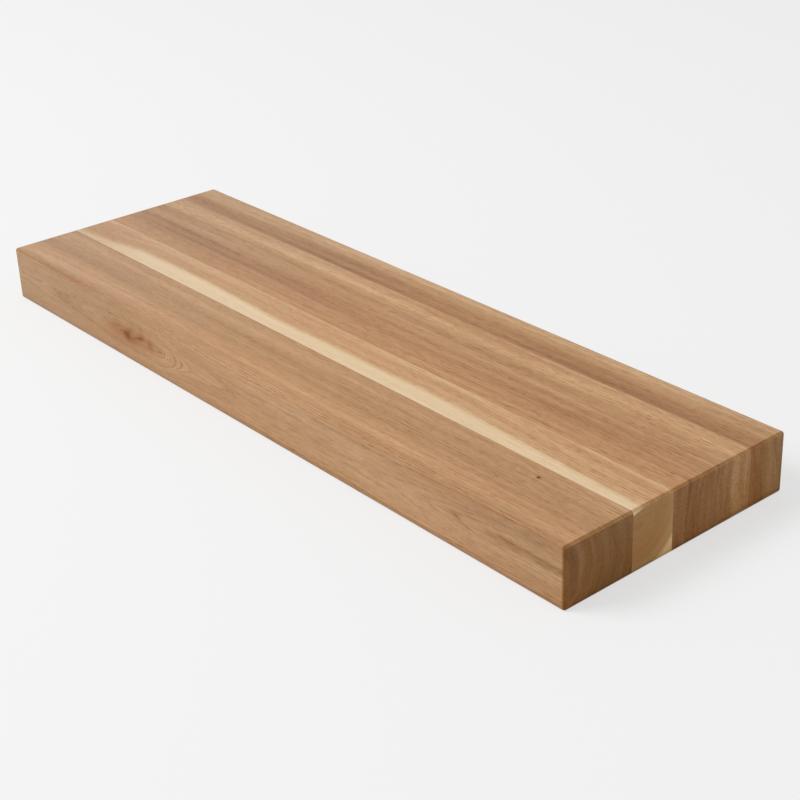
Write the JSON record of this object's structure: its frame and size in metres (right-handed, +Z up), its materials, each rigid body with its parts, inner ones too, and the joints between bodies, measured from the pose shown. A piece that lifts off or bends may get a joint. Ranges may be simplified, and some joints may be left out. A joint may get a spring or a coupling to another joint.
{
  "type": "stair tread",
  "caption": "Thick solid wood stair tread: full-length staves edge-glued into one rectangular panel with rounded arrises, to rest on stair stringers.",
  "frame": {"origin": "middle of the underside", "axes": "+X along the grain and the length, +Y from the front edge to the back edge, +Z up out of the walking surface"},
  "size_m": [0.9144, 0.2858, 0.0635],
  "materials": {
    "front_stave": "sanded, clear matt finish",
    "sapwood_stave": "sanded, clear matt finish",
    "wide_stave": "sanded, clear matt finish",
    "back_stave": "sanded, clear matt finish"
  },
  "bodies": {
    "root": {"front_stave": "front_stave", "sapwood_stave": "sapwood_stave", "wide_stave": "wide_stave", "back_stave": "back_stave"}
  },
  "joints": []
}
